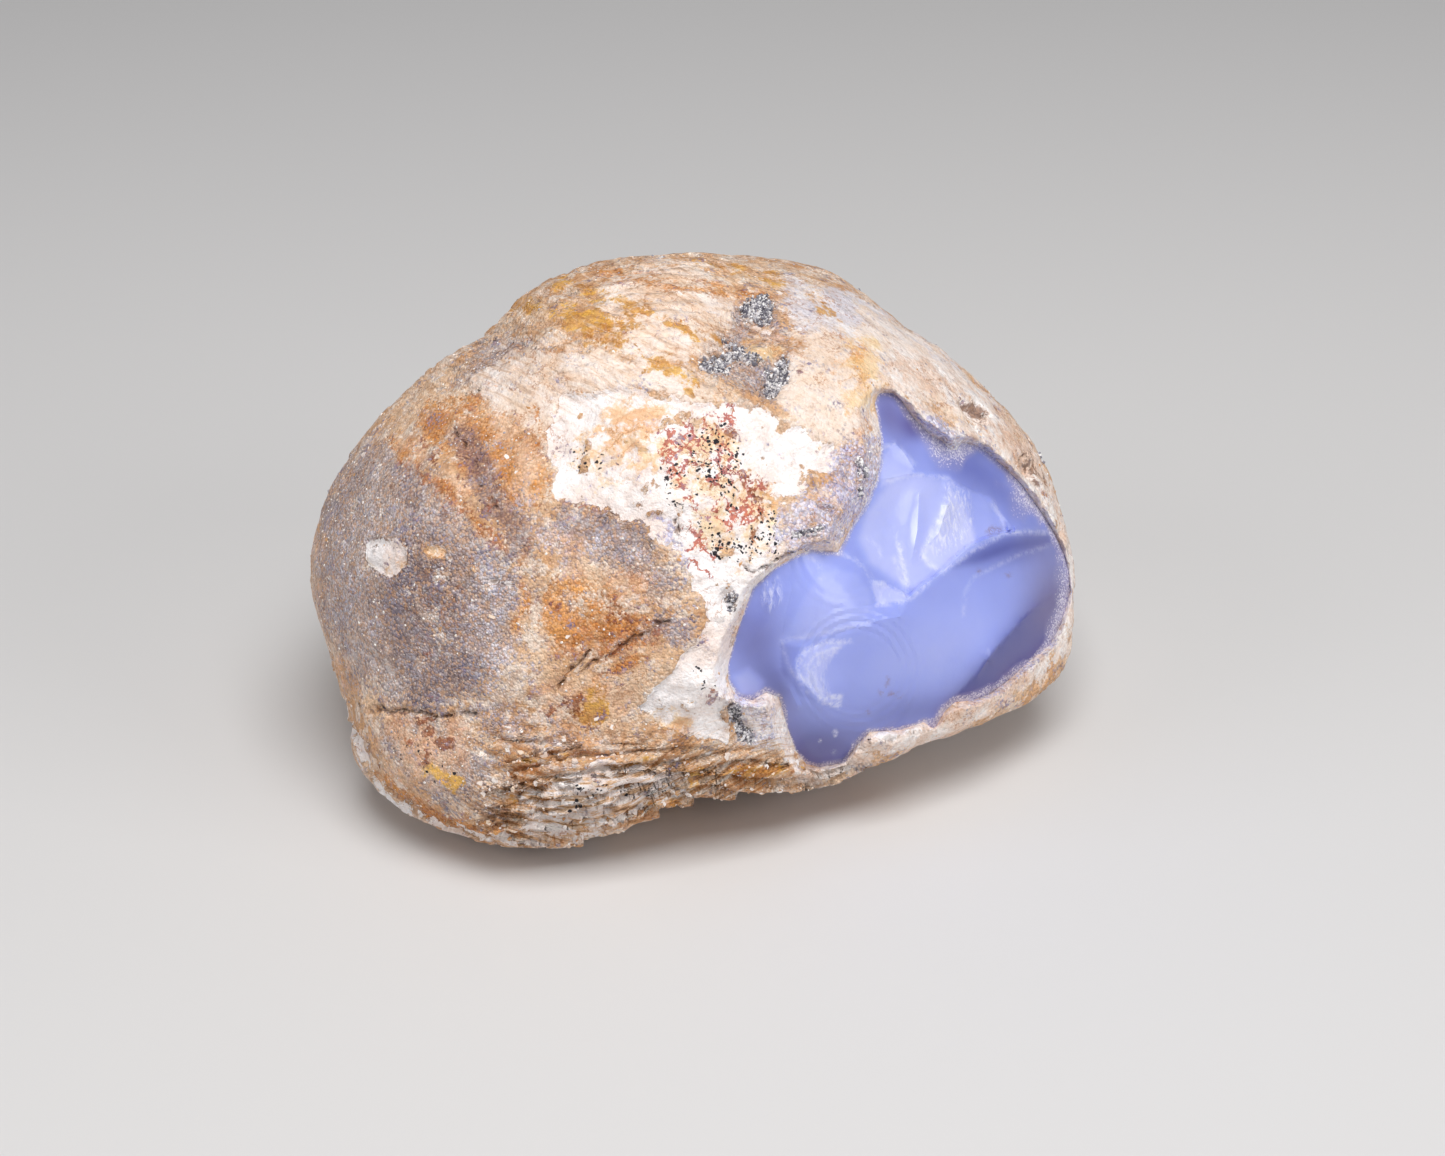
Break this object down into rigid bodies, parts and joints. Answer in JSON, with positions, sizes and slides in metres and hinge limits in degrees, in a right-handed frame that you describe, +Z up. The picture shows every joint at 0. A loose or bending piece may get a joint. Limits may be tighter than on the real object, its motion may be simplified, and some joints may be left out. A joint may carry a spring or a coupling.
{
  "type": "rough chalcedony",
  "caption": "Rough chalcedony nodule with a weathered, stained rind and a broken window of waxy blue chalcedony.",
  "frame": {"origin": "on the plane that the stone rests on, under the middle of its box", "axes": "+X to the right along the stone's length, +Y to the back, away from the broken window's side, +Z up"},
  "size_m": [0.0946, 0.0826, 0.0596],
  "materials": {
    "stone": "dry weathered rind, waxy where it is broken"
  },
  "bodies": {
    "root": {"nodule": "stone"}
  },
  "joints": []
}
